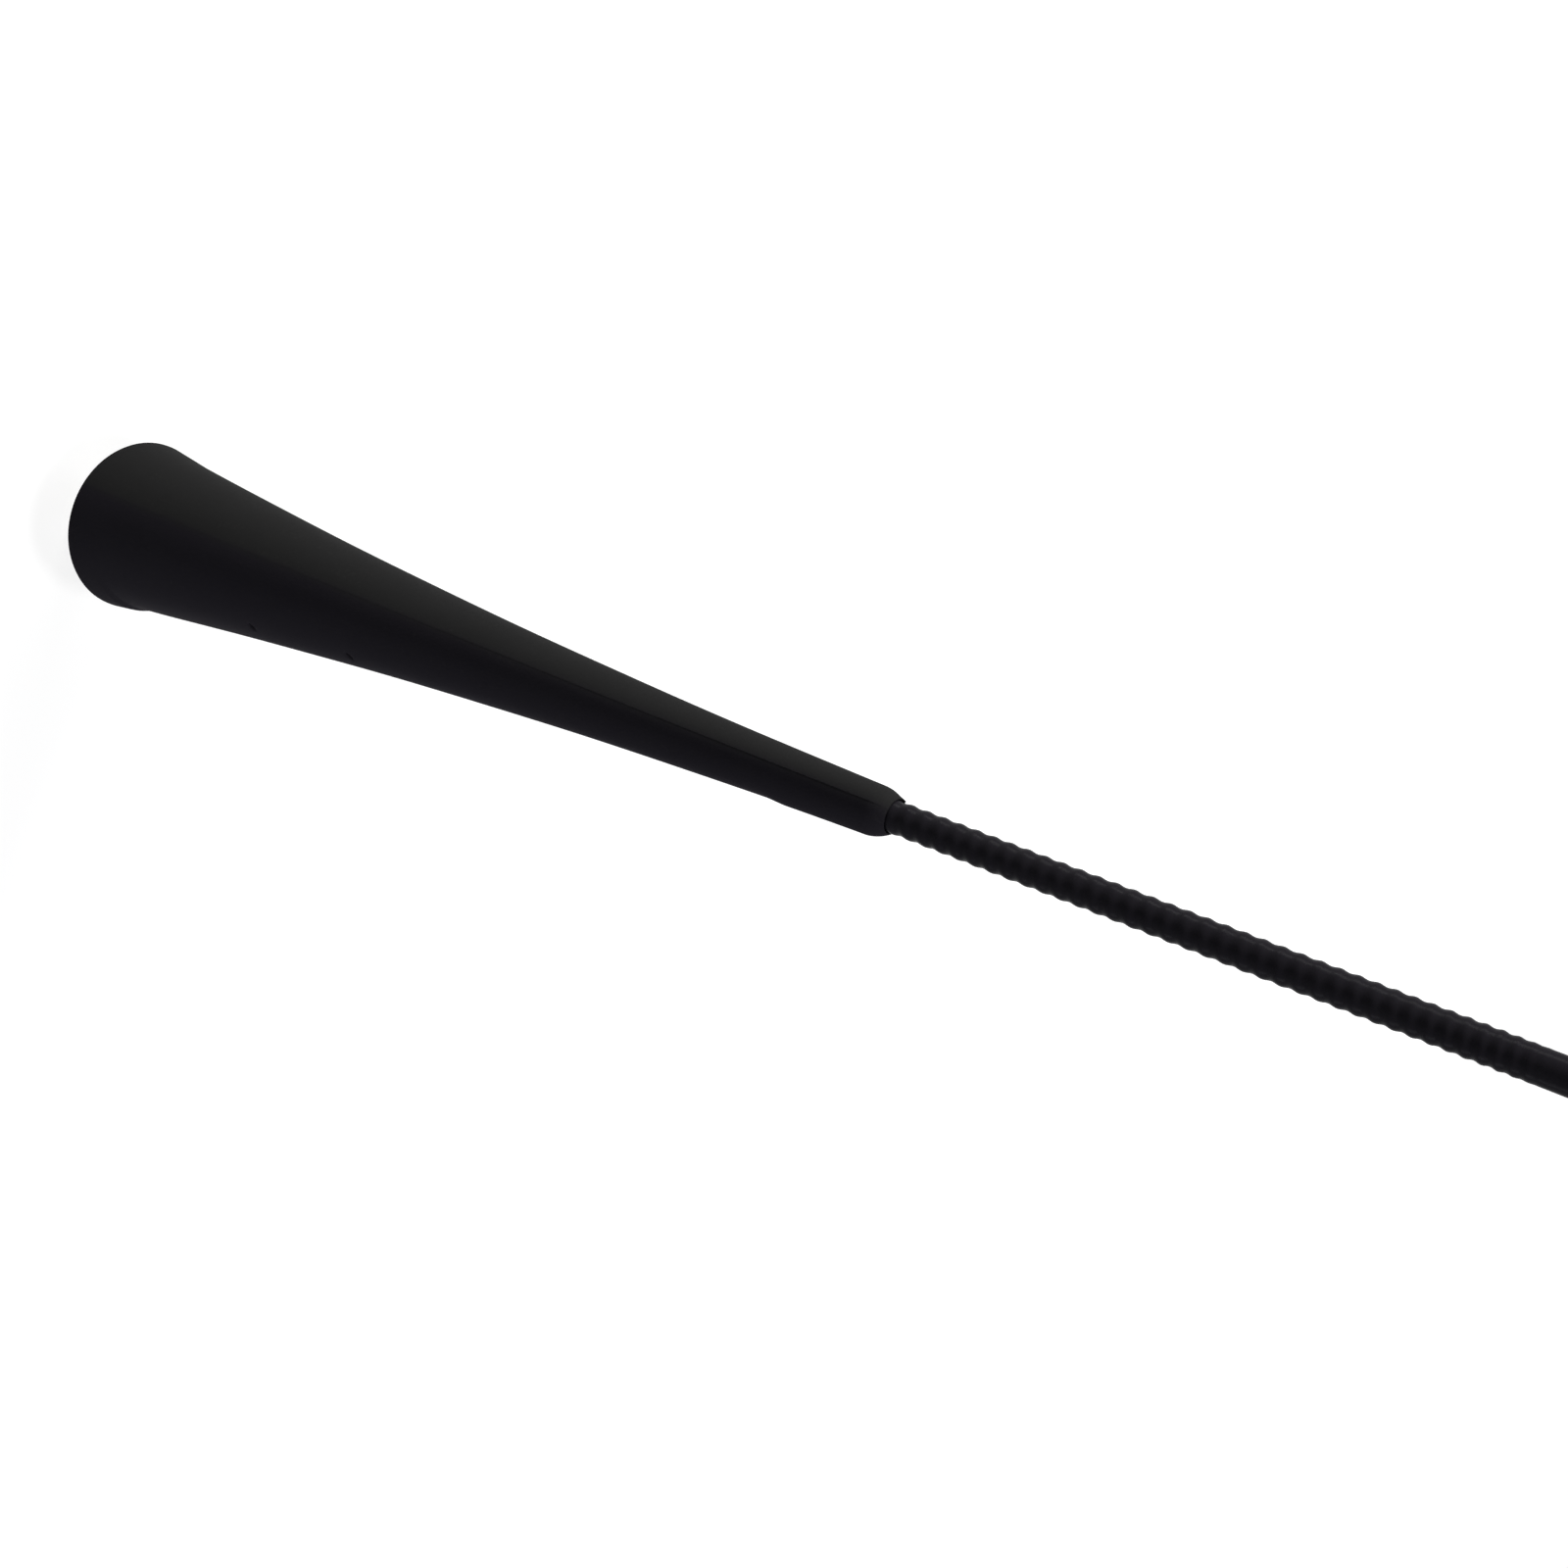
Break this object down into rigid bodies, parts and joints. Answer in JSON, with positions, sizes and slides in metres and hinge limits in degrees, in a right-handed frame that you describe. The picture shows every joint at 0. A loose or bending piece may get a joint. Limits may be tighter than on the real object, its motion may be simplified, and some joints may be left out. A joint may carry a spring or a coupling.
{
  "type": "car mast aerial",
  "caption": "Black whip aerial for a car: a long trumpet-shaped boot over a screw stud, with a thin mast that carries a fine raised spiral.",
  "frame": {"origin": "centre of the boot's seat plane, on the stud's axis", "axes": "+Z along the mast towards its tip, the stud points to -Z"},
  "size_m": [0.0202, 0.0202, 0.409],
  "materials": {
    "boot_black": "satin moulded black rubber with a faint parting line",
    "plated_brass": "bright nickel plate on turned brass",
    "fibreglass": "pultruded glass rod",
    "copper_wire": "enamelled copper",
    "solder": "dull tin solder",
    "sheath_black": "satin black shrunk sleeve",
    "cap_black": "satin moulded black plastic"
  },
  "bodies": {
    "root": {"flared_boot": "boot_black", "threaded_ferrule": "plated_brass", "core_rod": "fibreglass", "aerial_winding": "copper_wire", "solder_joint": "solder", "mast_sheath": "sheath_black", "tip_cap": "cap_black"}
  },
  "joints": []
}
